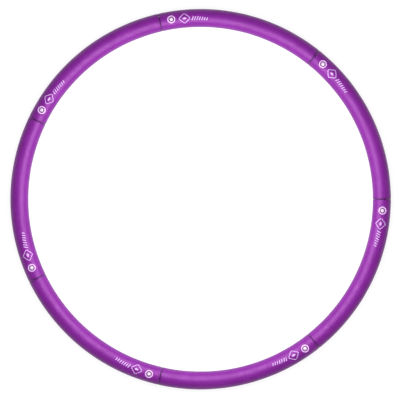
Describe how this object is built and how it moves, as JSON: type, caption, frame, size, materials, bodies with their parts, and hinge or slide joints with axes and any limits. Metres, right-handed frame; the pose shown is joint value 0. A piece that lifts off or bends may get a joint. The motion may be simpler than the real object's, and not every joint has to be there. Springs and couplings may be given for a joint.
{
  "type": "exercise hoop",
  "caption": "Round take-apart exercise hoop of equal curved foam-covered sections, plugged end to end, each joint locked by a push button in an eyelet.",
  "frame": {"origin": "centre of the hoop", "axes": "the hoop lies flat: +Z is its axis and points to the side with the buttons, and +X points to the joint between the last section and the first"},
  "size_m": [0.95, 0.95, 0.0453],
  "materials": {
    "foam": "satin",
    "tube_plastic": "satin",
    "hard_plastic": "satin",
    "button_plastic": "gloss",
    "eyelet_plastic": "satin",
    "spring_steel": "satin",
    "pin_steel": "satin",
    "print_ink": "matte"
  },
  "bodies": {
    "section_1": {"sleeve_1": "foam", "core_tube_1": "tube_plastic", "plug_1": "hard_plastic", "socket_1": "hard_plastic", "lock_spring_1": "spring_steel", "eyelet_1": "eyelet_plastic", "retaining_pins_1": "pin_steel"},
    "button_1": {"release_button_1": "button_plastic"},
    "section_2": {"sleeve_2": "foam", "core_tube_2": "tube_plastic", "plug_2": "hard_plastic", "socket_2": "hard_plastic", "lock_spring_2": "spring_steel", "eyelet_2": "eyelet_plastic", "retaining_pins_2": "pin_steel"},
    "button_2": {"release_button_2": "button_plastic"},
    "section_3": {"sleeve_3": "foam", "core_tube_3": "tube_plastic", "plug_3": "hard_plastic", "socket_3": "hard_plastic", "lock_spring_3": "spring_steel", "eyelet_3": "eyelet_plastic", "retaining_pins_3": "pin_steel"},
    "button_3": {"release_button_3": "button_plastic"},
    "section_4": {"sleeve_4": "foam", "core_tube_4": "tube_plastic", "plug_4": "hard_plastic", "socket_4": "hard_plastic", "lock_spring_4": "spring_steel", "eyelet_4": "eyelet_plastic", "retaining_pins_4": "pin_steel"},
    "button_4": {"release_button_4": "button_plastic"},
    "section_5": {"sleeve_5": "foam", "core_tube_5": "tube_plastic", "plug_5": "hard_plastic", "socket_5": "hard_plastic", "lock_spring_5": "spring_steel", "eyelet_5": "eyelet_plastic", "retaining_pins_5": "pin_steel"},
    "button_5": {"release_button_5": "button_plastic"},
    "section_6": {"sleeve_6": "foam", "core_tube_6": "tube_plastic", "plug_6": "hard_plastic", "socket_6": "hard_plastic", "lock_spring_6": "spring_steel", "eyelet_6": "eyelet_plastic", "retaining_pins_6": "pin_steel"},
    "button_6": {"release_button_6": "button_plastic"},
    "section_7": {"sleeve_7": "foam", "core_tube_7": "tube_plastic", "plug_7": "hard_plastic", "socket_7": "hard_plastic", "lock_spring_7": "spring_steel", "eyelet_7": "eyelet_plastic", "retaining_pins_7": "pin_steel"},
    "button_7": {"release_button_7": "button_plastic"}
  },
  "joints": [
    {"name": "section_2_pull", "type": "slide", "parent": "section_1", "child": "section_2", "axis": [-0.7818, 0.6235, 0], "range_m": [0, 0.06], "deforming": ["lock_spring_2"]},
    {"name": "section_3_pull", "type": "slide", "parent": "section_2", "child": "section_3", "axis": [-0.9749, -0.2225, 0], "range_m": [0, 0.06], "deforming": ["lock_spring_3"]},
    {"name": "section_4_pull", "type": "slide", "parent": "section_3", "child": "section_4", "axis": [-0.4339, -0.901, 0], "range_m": [0, 0.06], "deforming": ["lock_spring_4"]},
    {"name": "section_5_pull", "type": "slide", "parent": "section_4", "child": "section_5", "axis": [0.4339, -0.901, 0], "range_m": [0, 0.06], "deforming": ["lock_spring_5"]},
    {"name": "section_6_pull", "type": "slide", "parent": "section_5", "child": "section_6", "axis": [0.9749, -0.2225, 0], "range_m": [0, 0.06], "deforming": ["lock_spring_6"]},
    {"name": "section_7_pull", "type": "slide", "parent": "section_6", "child": "section_7", "axis": [0.7818, 0.6235, 0], "range_m": [0, 0.06], "deforming": ["lock_spring_7", "lock_spring_1"]},
    {"name": "button_1_press", "type": "slide", "parent": "section_1", "child": "button_1", "axis": [0, 0, -1], "range_m": [0, 0.00215], "stiffness_N_per_m": 2000, "deforming": ["lock_spring_2"]},
    {"name": "button_2_press", "type": "slide", "parent": "section_2", "child": "button_2", "axis": [0, 0, -1], "range_m": [0, 0.00215], "stiffness_N_per_m": 2000, "deforming": ["lock_spring_3"]},
    {"name": "button_3_press", "type": "slide", "parent": "section_3", "child": "button_3", "axis": [0, 0, -1], "range_m": [0, 0.00215], "stiffness_N_per_m": 2000, "deforming": ["lock_spring_4"]},
    {"name": "button_4_press", "type": "slide", "parent": "section_4", "child": "button_4", "axis": [0, 0, -1], "range_m": [0, 0.00215], "stiffness_N_per_m": 2000, "deforming": ["lock_spring_5"]},
    {"name": "button_5_press", "type": "slide", "parent": "section_5", "child": "button_5", "axis": [0, 0, -1], "range_m": [0, 0.00215], "stiffness_N_per_m": 2000, "deforming": ["lock_spring_6"]},
    {"name": "button_6_press", "type": "slide", "parent": "section_6", "child": "button_6", "axis": [0, 0, -1], "range_m": [0, 0.00215], "stiffness_N_per_m": 2000, "deforming": ["lock_spring_7"]},
    {"name": "button_7_press", "type": "slide", "parent": "section_7", "child": "button_7", "axis": [0, 0, -1], "range_m": [0, 0.00215], "stiffness_N_per_m": 2000, "deforming": ["lock_spring_1"]}
  ],
  "couplings": [
    {"joint": "section_3_pull", "follows": "section_2_pull", "ratio": 1},
    {"joint": "section_4_pull", "follows": "section_2_pull", "ratio": 1},
    {"joint": "section_5_pull", "follows": "section_2_pull", "ratio": 1},
    {"joint": "section_6_pull", "follows": "section_2_pull", "ratio": 1},
    {"joint": "section_7_pull", "follows": "section_2_pull", "ratio": 1}
  ]
}
